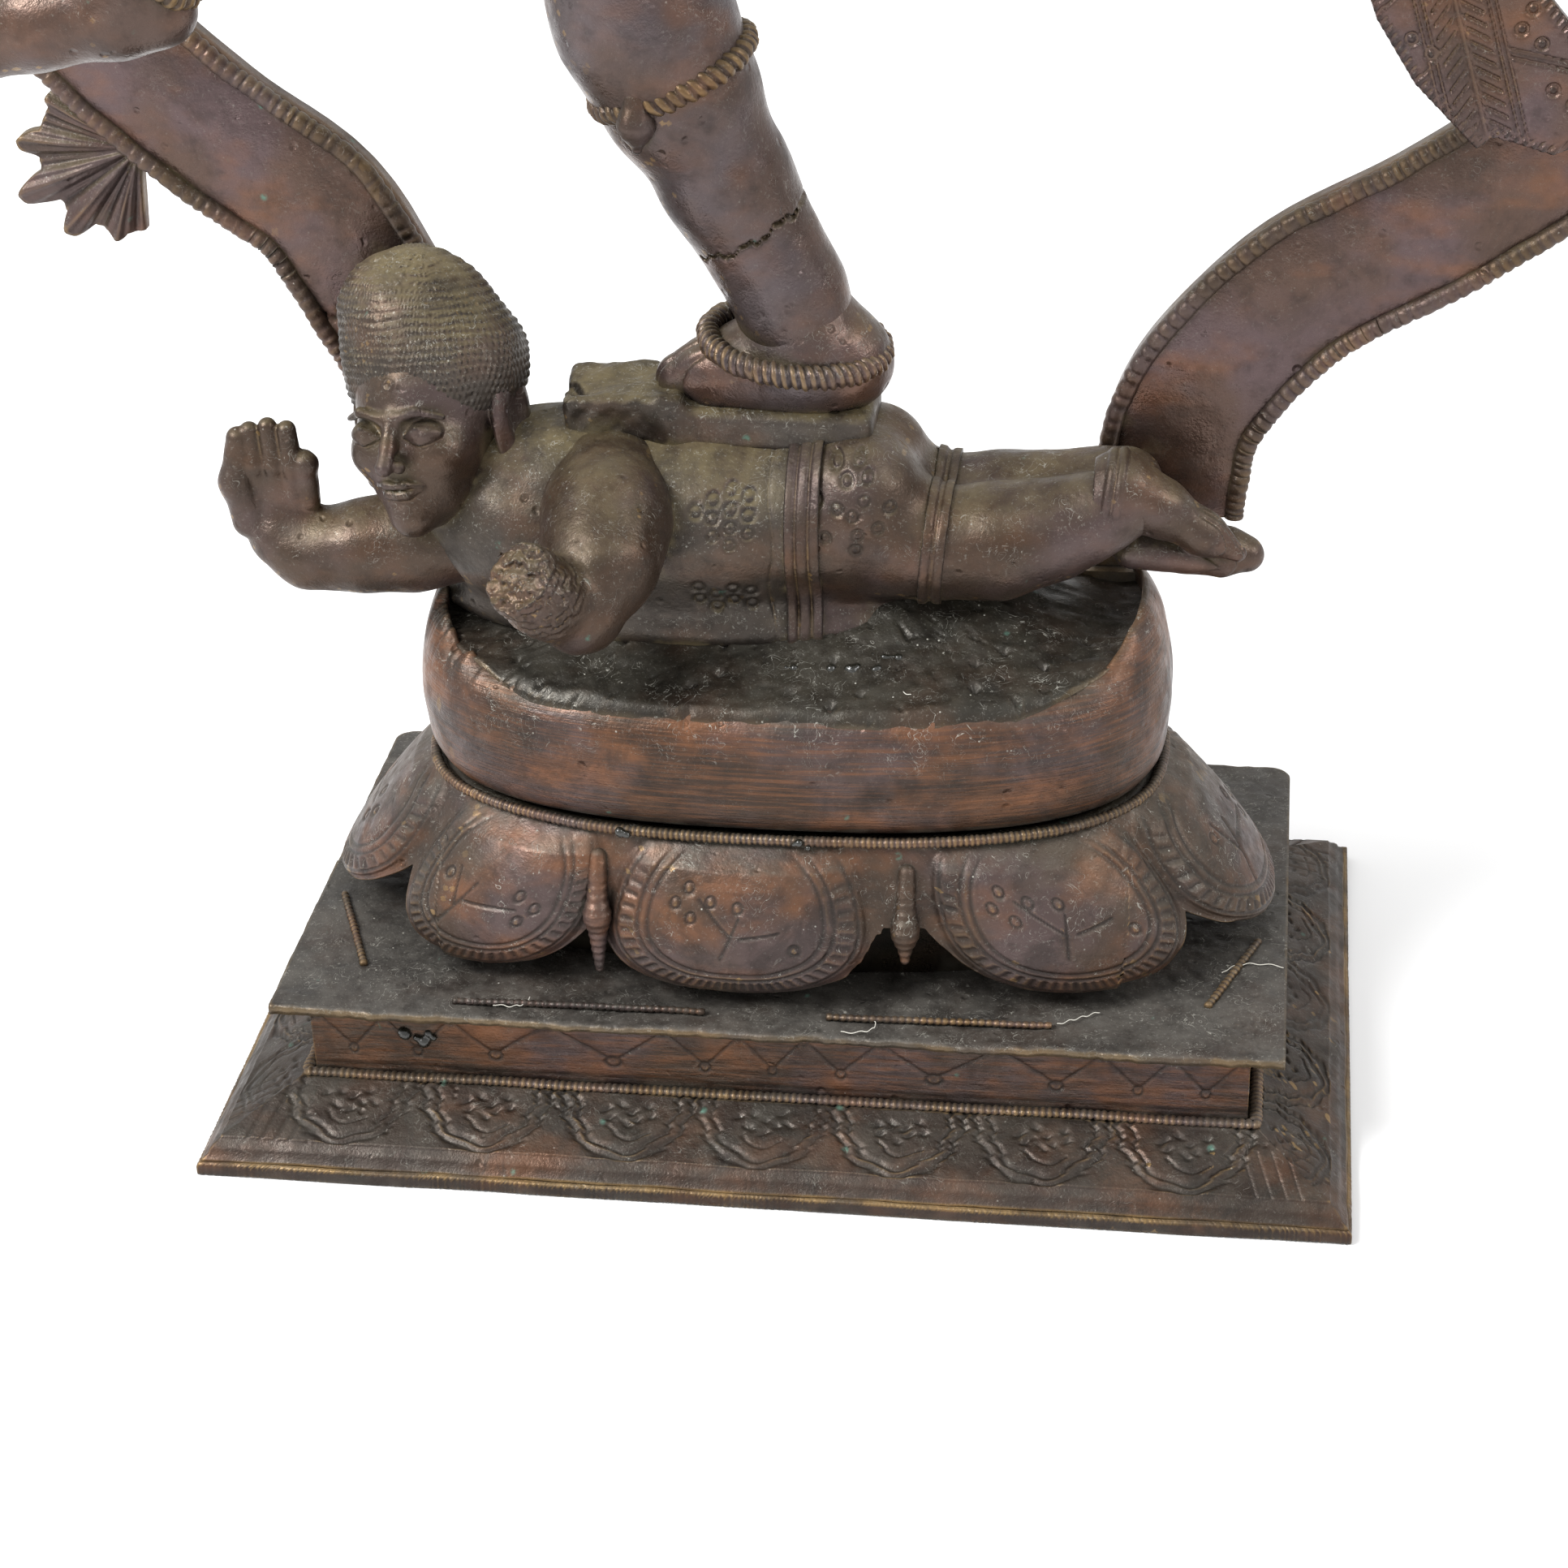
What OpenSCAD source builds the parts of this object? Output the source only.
// A cast brass dancer inside a ring of flames, on a stepped plinth with a lotus and a dwarf.
// Frame: +Z up, +X to the viewer's right, +Y away from the viewer.
// The origin is the centre of the plinth's underside.

/* [Plinth] */
// Width of the plinth's foot
plinth_w = 136.8; // [134:0.2:140]
// Depth of the plinth's foot
plinth_d = 84; // [82:0.2:88]
// Height of the foot's upright edge
flange_h = 1.7; // [1.2:0.1:3]
// Height of the top of the stamped slope
slope_top = 7.6; // [7:0.1:9]
// Underside of the table plate
table_z = 17.7; // [16:0.1:19]
// Thickness of the table plate
table_t = 1.2; // [0.8:0.1:1.6]

/* [Lotus and drum] */
// Height of the notched cord round the foot of the drum
cord_z = 39.5; // [38.5:0.1:40.5]
// Half width of the drum at its widest
drum_hx = 45.2; // [44.5:0.1:46]
// Half depth of the drum at its widest
drum_hy = 25; // [24.5:0.1:25.5]
// Height of the drum's rim at the front
rim_z = 56.5; // [55.5:0.1:57.5]

/* [Halo] */
// Radius of the middle of the halo's band
halo_r = 120; // [118:0.5:122]
// Width of the halo's band
halo_w = 17.4; // [15:0.2:19]
// Thickness of the halo's band, without its rims
halo_t = 3; // [2:0.1:3.4]
// Front face of the halo's band
halo_y = 9; // [8.8:0.1:9.4]
// Height of the halo's centre
halo_z = 205; // [203:0.5:207]
// Number of flames round the halo
flame_count = 17; // [9:1:21]
// Length of a flame
flame_l = 17; // [10:1:20]
// Gap round each tang in its socket
tang_gap = 0.3; // [0.2:0.05:0.5]

/* [Hidden] */

table_top = table_z + table_t;
wall = 2;
foot_hx = plinth_w / 2;
foot_hy = plinth_d / 2;
dado_hx = 56.1;
dado_hy = 29.6;
dado_wall = 1.9;
table_hx = 60;
table_hy = 33.5;
halo_x = 8;
halo_back = halo_y + halo_t;
rim_w = 2;
rim_h = 1.6;
tang_x = 37;
tang_w = 4;
tang_t = 2.4;
tang_foot = 47;
leg_foot = 66;
// How far the lowest flames lean towards the top of the ring, in degrees
flame_lean = 28;
oval_power = 2.6;

// Points of the halo's two legs, from the foot up to the ring, as [x, z]
left_leg = [[-42.5, leg_foot], [-43.5, 76], [-46.6, 86], [-51.4, 94.4]];
right_leg = [[43.6, leg_foot], [44.2, 75], [46.8, 83]];
// Angles at which the ring takes over from the legs
ring_from = -65;
ring_to = 238;

// ---- helpers -------------------------------------------------------------------------------

function unit(v) = v / norm(v);
function xyz(p) = [p[0], p[1], p[2]];
function blend4(a, b, c, d, t) =
    0.5 * (2 * b + (c - a) * t + (2 * a - 5 * b + 4 * c - d) * t * t + (3 * b - a - 3 * c + d) * t * t * t);
function smooth(p, n) = [
    for (i = [0 : len(p) - 2], k = [0 : n - 1])
        blend4(p[max(i - 1, 0)], p[i], p[i + 1], p[min(i + 2, len(p) - 1)], k / n),
    p[len(p) - 1]
];
// A superellipse ring: half width, half depth, height, and an extra rise towards both ends
function oval(hx, hy, z, rise = 0, sides = 40) = [
    for (i = [0 : sides - 1])
        let (a = 360 * i / sides, c = cos(a), s = sin(a), e = 2 / oval_power)
            [hx * sign(c) * pow(abs(c), e), hy * sign(s) * pow(abs(s), e), z + rise * pow(abs(c), 5)]
];
function rect(hx, hy, z) = [[hx, hy, z], [-hx, hy, z], [-hx, -hy, z], [hx, -hy, z]];

// A solid skinned over rings of equal length; with hollow = true the last ring joins the first
module skin(rings, hollow = false) {
    m = len(rings[0]);
    n = len(rings);
    spans = hollow ? n : n - 1;
    sides = [for (i = [0 : spans - 1], j = [0 : m - 1])
        [i * m + j, ((i + 1) % n) * m + j, ((i + 1) % n) * m + (j + 1) % m, i * m + (j + 1) % m]];
    caps = hollow ? [] : [[for (j = [0 : m - 1]) j], [for (j = [m - 1 : -1 : 0]) (n - 1) * m + j]];
    polyhedron(points = [for (r = rings) each r], faces = concat(sides, caps), convexity = 6);
}

// A limb swept along [x, y, z, half width, half thickness] stations, with `side` its width's way
module limb(stations, side = [0, 1, 0], n = 3, sides = 12) {
    s = smooth(stations, n);
    last = len(s) - 1;
    skin([for (i = [0 : last])
        let (t = unit(xyz(s[min(i + 1, last)]) - xyz(s[max(i - 1, 0)])),
             b = unit(cross(t, side)),
             a = cross(b, t))
            [for (j = [0 : sides - 1])
                let (w = 360 * j / sides)
                    xyz(s[i]) + a * (s[i][3] * cos(w)) + b * (s[i][4] * sin(w))]]);
}

// A ring of round bar about a limb: centre, axis, radius to the bar's middle, bar radius
module hoop(centre, axis, r, bar) {
    turn = acos(unit(axis)[2]);
    translate(centre)
        rotate(a = turn, v = turn < 0.01 || turn > 179.99 ? [1, 0, 0] : cross([0, 0, 1], axis))
            rotate_extrude($fn = 36) translate([r, 0]) circle(r = bar, $fn = 14);
}

// The halo's middle line as [x, z], foot to foot, and a strip of it between two offsets
function ring_point(a) = [halo_x + halo_r * cos(a), halo_z + halo_r * sin(a)];
function halo_line() = concat(
    smooth(concat(left_leg, [ring_point(ring_to), ring_point(ring_to - 5)]), 5),
    [for (a = [ring_to - 9 : -4 : ring_from + 8]) ring_point(a)],
    smooth(concat([ring_point(ring_from + 5), ring_point(ring_from)],
                  [for (i = [len(right_leg) - 1 : -1 : 0]) right_leg[i]]), 5));
function halo_side(line, off) = [
    for (i = [0 : len(line) - 1])
        let (d = unit(line[min(i + 1, len(line) - 1)] - line[max(i - 1, 0)]))
            line[i] + off * [-d[1], d[0]]
];
module halo_strip(from, to, y0, y1) {
    line = halo_line();
    edge = concat(halo_side(line, from), [for (p = [len(line) - 1 : -1 : 0]) halo_side(line, to)[p]]);
    translate([0, y1, 0]) rotate([90, 0, 0]) linear_extrude(y1 - y0) polygon(edge);
}

// ---- plinth --------------------------------------------------------------------------------

// A rectangular frame between two half sizes, from z0 to z1
module rect_frame(outer, inner, z0, z1) {
    difference() {
        translate([-outer[0], -outer[1], z0]) cube([2 * outer[0], 2 * outer[1], z1 - z0]);
        translate([-inner[0], -inner[1], z0 - 1]) cube([2 * inner[0], 2 * inner[1], z1 - z0 + 2]);
    }
}

module plinth_flange() {
    edge = 5;
    color("#4a3a2c") rect_frame([foot_hx, foot_hy], [foot_hx - edge, foot_hy - edge], 0, flange_h);
}

module plinth_slope() {
    mouth_hx = dado_hx - dado_wall;
    mouth_hy = dado_hy - dado_wall;
    color("#4c3d33") skin([
        rect(foot_hx - 0.6, foot_hy - 0.6, flange_h), rect(foot_hx - 2.5, foot_hy - 2.6, 4.1),
        rect(foot_hx - 10.8, foot_hy - 10.9, slope_top), rect(mouth_hx, mouth_hy, slope_top),
        rect(mouth_hx, mouth_hy, slope_top - wall), rect(foot_hx - 5.4, foot_hy - 5, flange_h)],
        hollow = true);
}

module slope_bead() {
    bead_w = 1.4;
    bead_h = 1.2;
    color("#6b5330")
        rect_frame([dado_hx + bead_w, dado_hy + bead_w], [dado_hx, dado_hy], slope_top, slope_top + bead_h);
}

module dado() {
    color("#5a4234")
        rect_frame([dado_hx, dado_hy], [dado_hx - dado_wall, dado_hy - dado_wall], slope_top, table_z);
}

module table_plate() {
    corner = 2.5;
    color("#46413c") translate([0, 0, table_z]) linear_extrude(table_t) {
        translate([-table_hx, -table_hy]) square([2 * table_hx, 2 * table_hy - corner]);
        translate([-table_hx + corner, -table_hy]) square([2 * (table_hx - corner), 2 * table_hy]);
        for (sx = [-1, 1]) translate([sx * (table_hx - corner), table_hy - corner]) circle(corner,
            $fn = 32);
    }
}

module table_strips() {
    front = [27, 1.3, 0.8];
    side = [1.2, 24, 0.8];
    color("#5b4433") {
        for (x = [-33.5, 7]) translate([x, -32, table_top]) cube(front);
        for (x = [-58.8, 57.6]) translate([x, -side[1] / 2, table_top]) cube(side);
    }
}

// ---- lotus and drum ------------------------------------------------------------------------

module lotus_shell() {
    color("#54413a") skin([
        oval(drum_hx - 1.2, drum_hy - 1, cord_z), oval(49, 26.6, 35), oval(50.4, 27, 30),
        oval(50.6, 27, table_top), oval(48.8, 25.4, table_top), oval(48.6, 25.4, 30),
        oval(47, 24.8, 35), oval(drum_hx - 3.4, drum_hy - 3, cord_z)], hollow = true);
}

module petal(at, way) {
    translate(at) rotate(way) limb([
        [0, 6.5, 38.6, 8, 0.8], [0, 2.6, 35.5, 12, 1.3], [0, 0.2, 30, 15, 1.5],
        [0, -1.2, 25.5, 14, 1.5], [0, -1.8, 22, 9, 1.3],
        [0, -2, 19.6, 2, 0.7]], side = [1, 0, 0], sides = 16);
}

module lotus_petals() {
    color("#57423b") {
        for (x = [-33, -4.6, 33]) petal([x * 0.86, -27.4, 0], 0);
        for (x = [-33, 0, 33]) petal([x * 0.86, 27.4, 0], 180);
        petal([-54, 0, 0], -90);
        petal([52, 0, 0], 90);
    }
}

module lotus_buds() {
    color("#3f352f")
        for (sy = [-1, 1], x = [-17, 15]) translate([x, sy * 27.6, 0])
            limb([[0, 0, 33, 1.2, 0.9], [0, 0, 27, 2, 1.2],
                [0, 0, 20.5, 0.6, 0.5]], side = [1, 0, 0], n = 2, sides = 8);
}

module drum_bead() {
    color("#6a4c36") skin([
        oval(44.9, 24.9, cord_z), oval(44.9, 24.9, cord_z + 1.1),
        oval(43.4, 23.4, cord_z + 1.1), oval(43.4, 23.4, cord_z)], hollow = true);
}

module drum() {
    color("#5d4638") skin([
        oval(43.2, 23.3, cord_z + 1.1), oval(drum_hx - 0.2, drum_hy - 0.2, 44),
        oval(drum_hx, drum_hy, 48), oval(drum_hx - 0.5, drum_hy - 0.4, 52, 1),
        oval(drum_hx - 1.2, drum_hy - 0.8, rim_z, 5.5), oval(drum_hx - 2.6, drum_hy - 2, rim_z, 5.3),
        oval(drum_hx - 2.2, drum_hy - 2, 51, 1), oval(drum_hx - 2, drum_hy - 1.8, 45),
        oval(41.2, 21.3, cord_z + 1.1)], hollow = true);
}

module deck() {
    color("#3d3a33") difference() {
        skin([oval(42, 22.2, 49), oval(41.3, 22, rim_z - 1.2), oval(38.5, 17, 59), oval(30, 9.5, 61.6)]);
        for (sx = [-1, 1]) translate([sx * tang_x - 5, halo_y - 3.4, 40]) cube([10, 20, 40]);
    }
}

module halo_sockets() {
    color("#3a3029") for (sx = [-1, 1]) translate([sx * tang_x, halo_y + halo_t / 2, 0]) difference() {
        translate([-4.2, -2.9, 44]) cube([8.4, 5.8, 16]);
        translate([-tang_w / 2 - tang_gap, -tang_t / 2 - tang_gap, tang_foot - tang_gap])
            cube([tang_w + 2 * tang_gap, tang_t + 2 * tang_gap, 40]);
    }
}

// ---- dwarf ---------------------------------------------------------------------------------

module dwarf_torso() {
    color("#4f4238") limb([
        [-44, -5, 69, 3, 3], [-40, -5, 70, 9.5, 7.5], [-30, -4.4, 71.5, 11.4, 10.5],
        [-18, -3, 71.5, 13, 11],
        [-6, -2, 71.5, 12.5, 11], [3, -1, 72, 10.5, 10], [6, -1, 72, 3, 3]], sides = 16);
}

module dwarf_hips() {
    color("#4c4139") limb([
        [2, -1, 72, 3, 3], [4, -1, 72.5, 10.5, 9.8], [10, -1.4, 73, 10, 9.6], [14.5, -2, 71.5, 7, 7.5],
        [17, -2, 70.5, 2.5, 3]], sides = 16);
}

module dwarf_belt() {
    color("#5d4c3c") limb([
        [1.2, -1.2, 72.3, 11.8, 11], [2.6, -1.2, 72.3, 12, 11.2],
        [4, -1.2, 72.4, 11.8, 11]], n = 1, sides = 20);
}

module dwarf_head() {
    color("#51443d") limb([
        [-38.8, -7, 71.6, 2, 2], [-39.6, -8, 74, 6, 5.5], [-41, -8, 80, 9.4, 9.4],
        [-42, -7, 87, 10.2, 10.2],
        [-42.6, -6.4, 93, 7, 7]], side = [1, 0, 0], sides = 16);
}

module dwarf_hair() {
    color("#4a463b") limb([
        [-41, -3, 83, 9, 7.5], [-41.6, -3.6, 88, 11.4, 10.3], [-42, -3.6, 94, 11.2, 10.4],
        [-42.6, -3.6, 100, 8, 7.6], [-43, -3.6, 103, 2.5, 2.5]], side = [1, 0, 0], sides = 16);
}

module dwarf_arm_raised() {
    color("#4b413b") limb([
        [-40, -7, 69, 4, 4], [-48, -8, 68, 4.4, 5], [-56, -8.4, 67.6, 3.6, 4],
        [-60.5, -8.6, 70.5, 2.6, 2.8],
        [-61, -8.6, 76, 4, 1.6], [-60, -8.6, 82.5, 3, 1.3],
        [-59.6, -8.6, 84, 1, 0.6]], side = [0.9, 0.2, 0.4]);
}

module dwarf_arm_bent() {
    color("#4f4038") {
        limb([[-21, -8, 76, 4, 4], [-20.5, -15, 75, 5.4, 5], [-19.5, -22, 71, 4.6, 4.6],
            [-19.8, -27, 68, 3.6, 3.6],
              [-21, -28.6, 67.4, 1.5, 1.5]], side = [1, 0, 0]);
        limb([[-19.8, -24.5, 67.6, 2.5, 2.5], [-21.6, -27.4, 70, 4, 3.8], [-24.6, -30, 74.4, 4.2, 4],
              [-26.4, -31.6, 77.4, 3.6, 3.2], [-27, -32, 78.4, 2, 1.6]], side = [1, 0, 0]);
    }
}

module dwarf_legs() {
    color("#4c423b") for (y = [-5.4, 3.4]) limb([
        [12, y, 69.6, 3.6, 5], [18, y, 69.2, 4.2, 6], [24, y * 0.95, 70, 3.8, 5.6],
        [31, y * 0.85, 71.6, 3.2, 5],
        [37, y * 0.75, 73.4, 2.6, 3.6], [39, y * 0.75, 73.8, 1.5, 2]]);
}

module dwarf_garters() {
    color("#5d4c3c") for (y = [-5.4, 3.4]) hoop([17.8, y, 69.2], [1, 0, 0.05], 5.9, 0.5);
}

module dwarf_feet() {
    color("#4a403d") {
        limb([[36.5, -3, 76, 2, 2.6], [39, -3, 76.4, 3, 3.8], [43, -3, 73.6, 2.8, 2.6],
            [48, -3, 70, 2.6, 1.8],
              [52, -3, 67.8, 1.4, 1]]);
        limb([[36.5, 1.5, 70.6, 2, 2], [41, 1.5, 69.4, 2.6, 2.8], [46, 1.5, 68, 2.6, 2],
            [51, 1.5, 66.6, 2.4, 1.6],
              [53.6, 1.5, 66, 1.2, 0.8]]);
    }
}

// ---- dancer --------------------------------------------------------------------------------

module foot_block() {
    color("#4d4338") limb([
        [-25.5, -0.6, 83.6, 5, 2.6], [-22, -0.6, 83.6, 6, 3.2], [-10, -0.4, 83.2, 6.2, 3],
        [4, 0, 82.6, 6, 2.8],
        [10.6, 0, 82.8, 4.6, 2.2]], sides = 14);
}

module standing_foot() {
    color("#52423f") limb([
        [-13.6, -0.6, 88, 4.8, 2], [-9, -0.6, 88, 6, 3.2], [-2, -0.2, 89, 6, 5], [5, 0, 90, 5.6, 6],
        [10.4, 0, 89, 4.2, 4.6], [11.8, 0, 88.4, 1.6, 2]], sides = 14);
}

module standing_anklet() {
    color("#4b3d40") translate([1.2, -0.2, 92]) rotate([5, 7, 0]) scale([1.25, 1, 1]) hoop([0, 0, 0],
        [0, 0, 1], 8, 1.3);
}

module standing_shin() {
    color("#54403c") limb([
        [2.6, 0, 92, 5.6, 5.4], [1.2, 0, 97, 5.2, 5.4], [-2.2, 0, 104, 5.2, 5.2], [-6, -0.6, 112, 6, 5.8],
        [-10.6, -1.4, 122, 7.4, 7.2], [-14.4, -2.4, 131, 8.6, 8.4], [-16.6, -3, 137, 8.4, 8],
        [-17.6, -3, 142, 4, 4]],
        sides = 16);
}

module knee_band() {
    color("#5f5138") {
        hoop([-11.6, -1.6, 124.4], [-0.35, -0.1, 1], 8.2, 1.3);
        limb([[-14.4, -9.6, 124, 1, 1], [-14.2, -10, 121, 1.8, 1.6], [-14, -10, 118.4, 0.5, 0.5]],
             side = [1, 0, 0], n = 2, sides = 10);
    }
}

module standing_thigh() {
    color("#523f3a") limb([
        [-18, -3, 136, 4, 4], [-16.6, -3, 140, 8.6, 8.4], [-11, -2, 151, 10, 10],
        [-4, -0.4, 164, 11.6, 11.4],
        [2.4, 1, 177, 11.4, 11.4], [5, 1.4, 183, 6, 6]], sides = 16);
}

module hips() {
    color("#4c3d38") limb([
        [8.4, 1, 173, 5, 6], [8.4, 1, 177, 10, 13], [8, 1.4, 184, 11.4, 16], [7.4, 1.4, 191, 10, 14],
        [7, 1.4, 196, 8.4, 11.6]], sides = 20);
}

module waist_belt() {
    color("#6a5634") limb([
        [7.4, 1.4, 189.4, 11.4, 15.4], [7.3, 1.4, 191.4, 11.6, 15.4], [7.2, 1.4, 193.4, 10.4, 14.2]],
        n = 1, sides = 24);
}

module torso() {
    color("#51403b") limb([
        [7, 1.4, 193, 6, 8], [6.8, 1.2, 198, 8.2, 10.4], [6.2, 1, 207, 7.8, 9.8], [5.6, 0.6, 219, 9.4, 14],
        [5, 0.6, 230, 10, 17.6], [4.6, 1, 238, 8.4, 18.8], [4.4, 1, 242.4, 5, 12],
        [4.2, 0.4, 247, 4.2, 4.6],
        [4, 0, 251, 4, 4.4]], sides = 20);
}

module necklace() {
    color("#6a5634") hoop([4.4, -1.4, 239.6], [0, -0.5, 1], 8.6, 1.1);
}

module head() {
    color("#54443f") {
        limb([[3.6, -3, 249.6, 2, 2], [3.6, -3, 252, 5, 5.4], [3.4, -2.4, 258, 8.2, 8.2],
            [3.2, -1.6, 265, 9, 8.8],
              [3, -1.4, 271, 7.4, 7.4], [3, -1.4, 274, 3, 3]], sides = 18);
        for (sx = [-1, 1]) hoop([3.3 + sx * 9.6, 0, 255], [1, 0.4, 0], 2.4, 1);
    }
}

module crown() {
    color("#5d4a34") limb([
        [3, -1.2, 267.4, 9.2, 9.4], [3, -1.2, 270, 9.6, 9.8], [2.8, -1, 275, 8.4, 8.6],
        [2.7, -1, 282, 7.2, 8],
        [2.6, -1, 289, 6, 7.2], [2.6, -1, 295, 4, 5], [2.6, -1, 300, 2.2, 2.2],
        [2.6, -1, 304, 0.8, 0.8]], sides = 18);
}

// One flying lock of hair: where it ends, and how far it sags on the way
module lock(end, sag) {
    start = [3 + sign(end[0]) * 7, 2, 262];
    limb([concat(start, [1.4, 1.2]), concat(start * 0.6 + end * 0.4 + [0, 0.6, sag], [1.3, 1]),
          concat(start * 0.25 + end * 0.75 + [0, 0.6, sag * 0.8], [1.3, 1]), concat(end, [0.9, 0.8])],
         n = 4, sides = 8);
}

module hair_locks() {
    color("#4a3d36") for (sx = [-1, 1], k = [0 : 3])
        lock([4 + sx * (50 - 3 * k), 2.6, 247 + 11 * k], 3 - 2.4 * k);
}

module raised_thigh() {
    color("#523f3a") limb([
        [14, 0, 181, 5, 5], [13, -4, 181, 11, 11], [5, -18, 180.6, 10.4, 10], [-3, -31, 179, 9, 8.8],
        [-8, -37, 177, 7.8, 7.8], [-11, -40, 175.6, 3, 3]], side = [0, 0, 1], sides = 16);
}

module raised_shin() {
    color("#523f3a") limb([
        [-6, -35, 177.6, 3, 3], [-10, -37.6, 175.8, 8, 7.6], [-20, -39, 171.4, 7.4, 7],
        [-32, -40.2, 164.6, 6.4, 6.2],
        [-46, -41.4, 155.4, 5, 4.9], [-56, -42, 148.6, 4.8, 4.7],
        [-60, -42, 146, 3, 3]], side = [0, 1, 0], sides = 16);
}

module raised_anklet() {
    color("#4b3d40") hoop([-54.6, -42, 149.6], [-0.83, -0.05, -0.55], 5.8, 1.3);
}

module raised_foot() {
    color("#52423f") limb([
        [-54, -42, 145.6, 2, 2.6], [-57.6, -42, 145, 4.4, 5.6], [-65, -42.2, 143, 4.6, 4.8],
        [-73, -42.6, 139.6, 5, 3.4],
        [-80, -43, 136.6, 4.6, 2.4], [-84, -43, 135, 2, 1.2]], sides = 14);
}

module arm(stations) {
    color("#54433d") limb(stations, side = [0, 1, 0], sides = 14);
}

module arm_with_drum() {
    arm([[-8, 3, 238, 4, 4], [-15, 3.6, 238.4, 6.2, 6.6], [-26, 4.4, 233, 5, 5.2],
        [-40, 4.4, 226.6, 4.6, 4.6],
         [-49, 3.6, 225.6, 4.6, 4.6], [-55, 2.8, 231, 4.2, 4.2], [-60, 1.6, 242, 3.4, 3.4],
         [-64, 0.6, 253, 2.8, 2.8],
         [-65.6, 0, 259, 3.4, 3.6], [-66, 0, 265, 2.6, 2.6]]);
}

module hand_drum() {
    color("#5d4a34") translate([-66.4, -2.6, 270]) rotate([0, 68, 0])
        rotate_extrude($fn = 40) polygon([[0, -7], [4.6, -7], [4.6, -6], [1.9, -1], [1.9, 1],
            [4.6, 6], [4.6, 7], [0, 7]]);
}

module arm_with_flame() {
    arm([[16, 3, 238, 4, 4], [24, 3.6, 238.4, 6.2, 6.6], [35, 4.4, 233, 5, 5.2], [49, 4.4, 226.6, 4.6, 4.6],
         [58, 3.6, 225.6, 4.6, 4.6], [64, 2.8, 231, 4.2, 4.2], [69.4, 1.6, 242, 3.4, 3.4],
         [73.6, 0.6, 253, 2.8, 2.8],
         [75, -0.4, 259, 3.6, 3.6], [75.6, -1, 264, 3.6, 2.6], [75.8, -1, 266, 2, 1.6]]);
}

module hand_flame() {
    color("#7a5a34") for (k = [-1, 0, 1]) limb([
        [75.6, -1, 264, 1.4, 1.2], [75.6 + 3 * k, -1, 269, 2.3, 1.4], [75.6 + 4.6 * k, -1, 275, 1.6, 1.1],
        [75.6 + 3.4 * k, -1, 281 - 2 * abs(k), 0.5, 0.4]], side = [1, 0, 0], n = 2, sides = 10);
}

module arm_open_palm() {
    arm([[-9, -2, 237, 4, 4], [-14, -3.4, 236, 6, 6], [-20, -6.6, 228, 5.2, 5.2],
        [-26, -10.6, 217, 4.6, 4.6],
         [-28.6, -14, 212, 4.6, 4.6], [-29.6, -19.4, 216.4, 4, 4], [-29.6, -23.6, 226, 3.2, 3.2],
         [-29.4, -26, 232.6, 2.4, 3.4], [-29.2, -26.8, 240, 1.9, 4.4], [-29, -27, 249, 1.2, 2.8],
         [-29, -27, 251, 0.8, 1]]);
}

module arm_across() {
    color("#54433d") limb([
        [16, -2, 237, 4, 4], [22, -3.6, 236, 6, 6], [29, -7.4, 229, 5.2, 5.2], [35, -13, 220, 4.6, 4.6],
        [35, -19, 216, 4.6, 4.6], [28, -24, 217, 4.2, 4.2], [16, -28, 219.4, 3.8, 3.8], [3, -31, 221, 3, 3],
        [-4, -32.4, 221, 3.8, 2.2], [-12, -33.4, 216, 3.6, 1.6], [-16, -33.8, 207, 2.4, 1.2],
        [-16.6, -33.8, 203, 1, 0.8]],
        side = [0.2, 1, 0.3], sides = 14);
}

module armlets() {
    color("#6a5634") {
        hoop([-26, 4.4, 233], [-0.9, 0, -0.43], 5.7, 0.9);
        hoop([35, 4.4, 233], [0.9, 0, -0.43], 5.7, 0.9);
        hoop([-19.6, -6.4, 228.4], [-0.45, -0.3, -0.84], 5.9, 0.9);
        hoop([28.6, -7.2, 229.4], [0.5, -0.3, -0.8], 5.9, 0.9);
        hoop([-61.6, 1.2, 247], [-0.34, -0.1, 0.93], 3.9, 0.8);
        hoop([71.4, 1.2, 247], [0.34, -0.1, 0.93], 3.9, 0.8);
        hoop([-29.6, -22.6, 223.6], [0, -0.38, 0.92], 4, 0.8);
        hoop([10, -29.4, 220.4], [-0.97, -0.22, 0.1], 4, 0.8);
    }
}

module sash() {
    color("#5c4133") limb([
        [14, 0, 190.6, 2, 1.2], [24, 2, 190, 3.4, 1.2], [38, 3, 184, 4.4, 1], [52, 3.2, 172, 5, 1],
        [61, 3.2, 158, 5.6, 1],
        [66, 3.2, 146, 6.4, 1], [67.4, 3.2, 142, 6, 1]], side = [1, 0, 0.8]);
}

module sash_end() {
    tip = [77, 115];
    color("#6a4a3a") translate([0, 4.2, 0]) rotate([90, 0, 0]) linear_extrude(2)
        polygon([[60, 146], [61.4, 137], [64.6, 128.5], [69, 121.5], tip, [84, 116], [91, 119.6], [88, 125],
                 [82, 132], [77.6, 138], [75, 146], [68, 148]]);
}

// ---- halo ----------------------------------------------------------------------------------

module halo_band() {
    color("#57423a") halo_strip(-halo_w / 2, halo_w / 2, halo_y, halo_back);
}

module halo_inner_rim() {
    color("#6b5330") halo_strip(-halo_w / 2, rim_w - halo_w / 2, halo_y - rim_h, halo_y);
}

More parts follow.
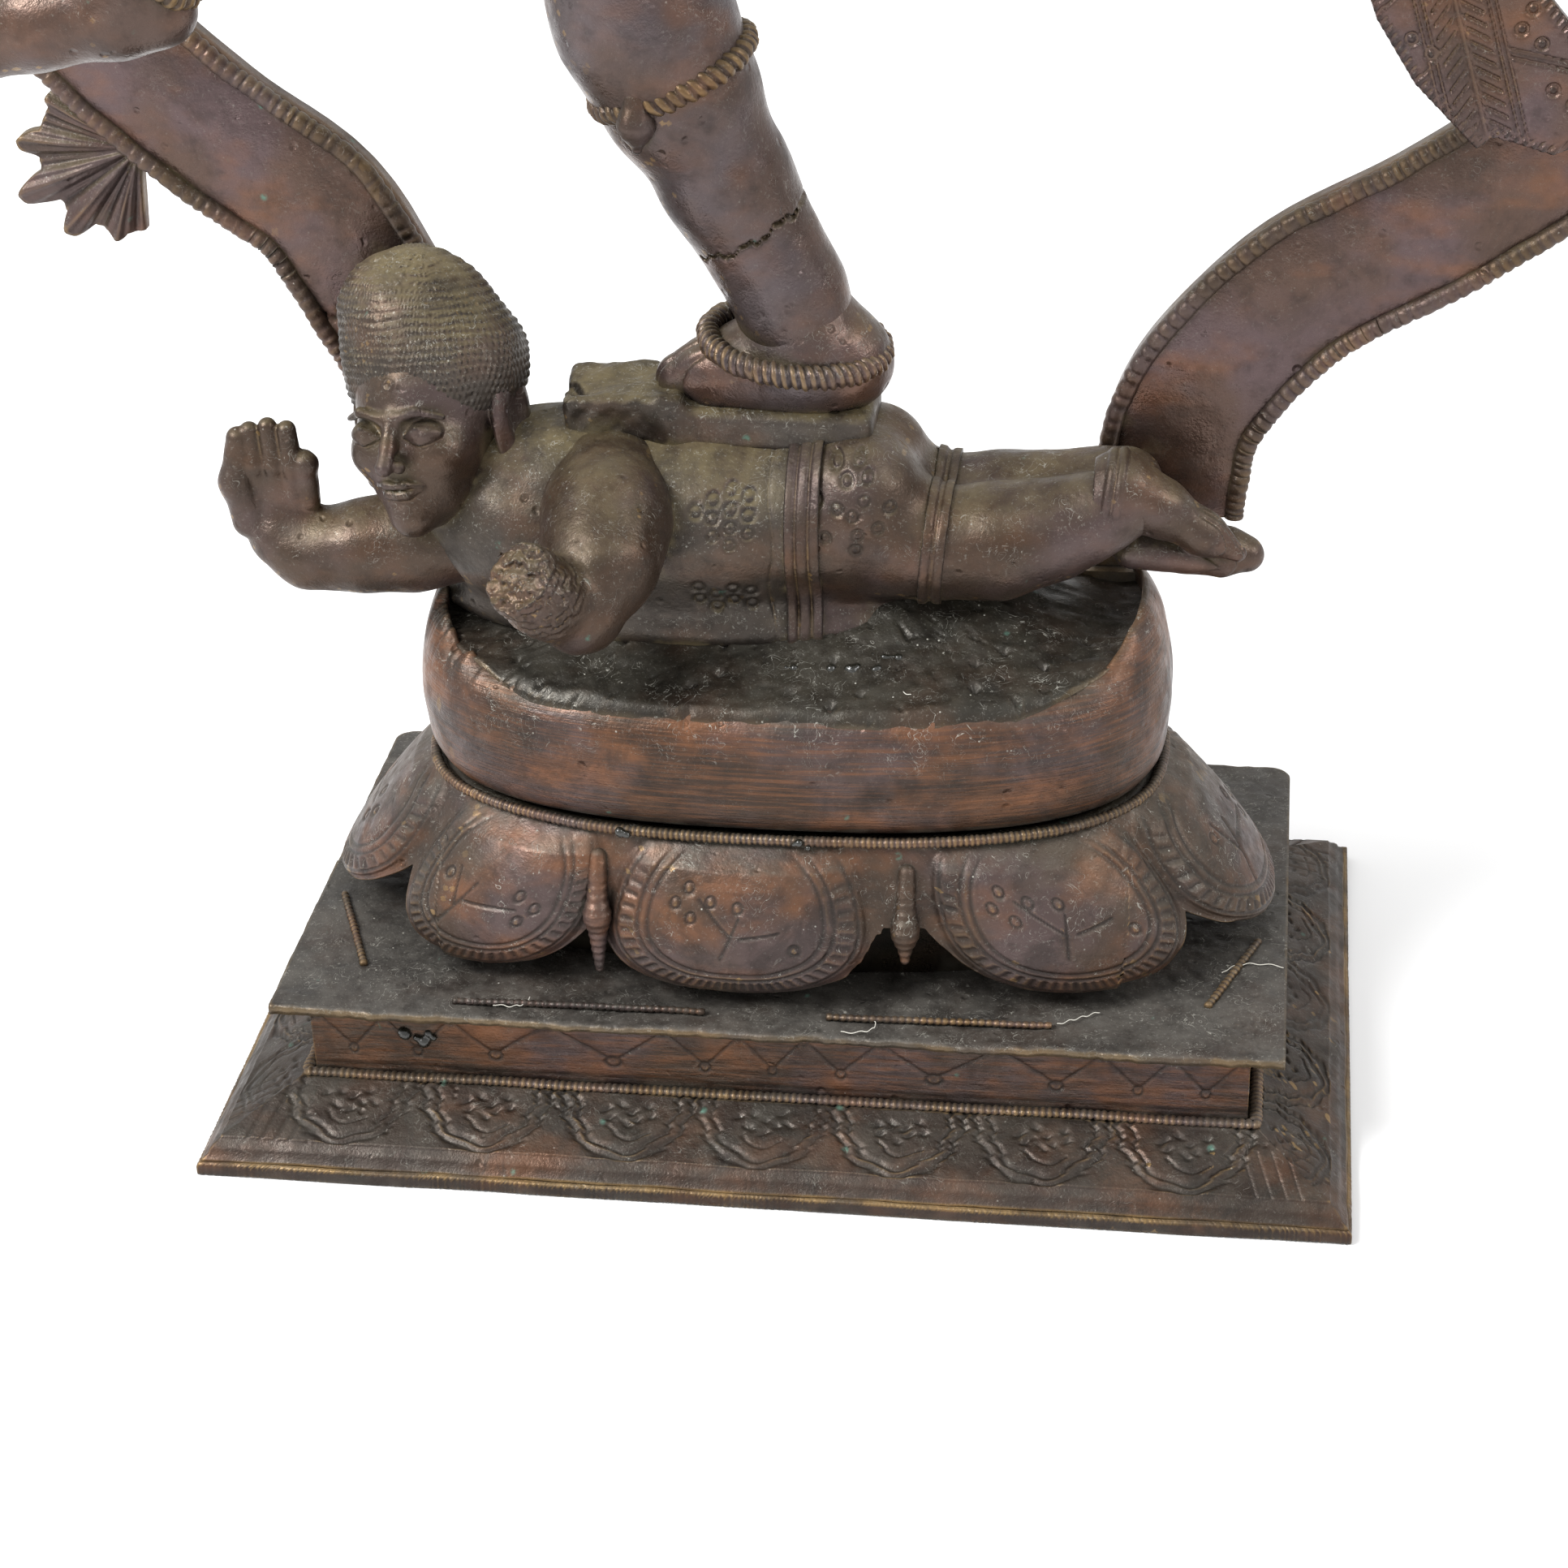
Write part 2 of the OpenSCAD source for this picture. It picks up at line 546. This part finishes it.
module halo_outer_rim() {
    color("#6b5330") halo_strip(halo_w / 2 - rim_w, halo_w / 2, halo_y - rim_h, halo_y);
}

// One flame: a fan of five lobes standing on the band's outer edge
module flame() {
    lobes = [-56, -28, 0, 28, 56];
    foot = halo_r + halo_w / 2 - 0.5;
    linear_extrude(halo_t - 0.6) polygon(concat(
        [[foot, -3], [foot, 3]],
        [for (i = [len(lobes) - 1 : -1 : 0], k = [1, 0, -1])
            let (a = lobes[i] + 11 * k,
                r = flame_l * (k == 0 ? 0.78 : 0.66) * (1 - 0.1 * abs(lobes[i]) / 56))
                [foot + 0.2 * flame_l + r * cos(a), r * sin(a)]]));
}

module halo_flames() {
    first = ring_from + 17;
    step = (ring_to - 10 - first) / (flame_count - 1);
    color("#6a4d34") for (i = [0 : flame_count - 1])
        let (a = first + i * step, root = halo_r + halo_w / 2 - 0.5)
            translate([halo_x, halo_back - 0.3, halo_z]) rotate([90, 0, 0]) rotate(a)
                translate([root, 0]) rotate(flame_lean * (90 - a) / (90 - first)) translate([-root,
                    0]) flame();
}

module halo_tangs() {
    color("#3a3029") for (sx = [-1, 1])
        translate([sx * tang_x - tang_w / 2, halo_y + (halo_t - tang_t) / 2, tang_foot])
            cube([tang_w, tang_t, leg_foot + 0.3 - tang_foot]);
}

plinth_flange();
plinth_slope();
slope_bead();
dado();
table_plate();
table_strips();
lotus_shell();
lotus_petals();
lotus_buds();
drum_bead();
drum();
deck();
halo_sockets();
dwarf_torso();
dwarf_hips();
dwarf_belt();
dwarf_head();
dwarf_hair();
dwarf_arm_raised();
dwarf_arm_bent();
dwarf_legs();
dwarf_garters();
dwarf_feet();
foot_block();
standing_foot();
standing_anklet();
standing_shin();
knee_band();
standing_thigh();
hips();
waist_belt();
torso();
necklace();
head();
crown();
hair_locks();
raised_thigh();
raised_shin();
raised_anklet();
raised_foot();
arm_with_drum();
hand_drum();
arm_with_flame();
hand_flame();
arm_open_palm();
arm_across();
armlets();
sash();
sash_end();
halo_band();
halo_inner_rim();
halo_outer_rim();
halo_flames();
halo_tangs();
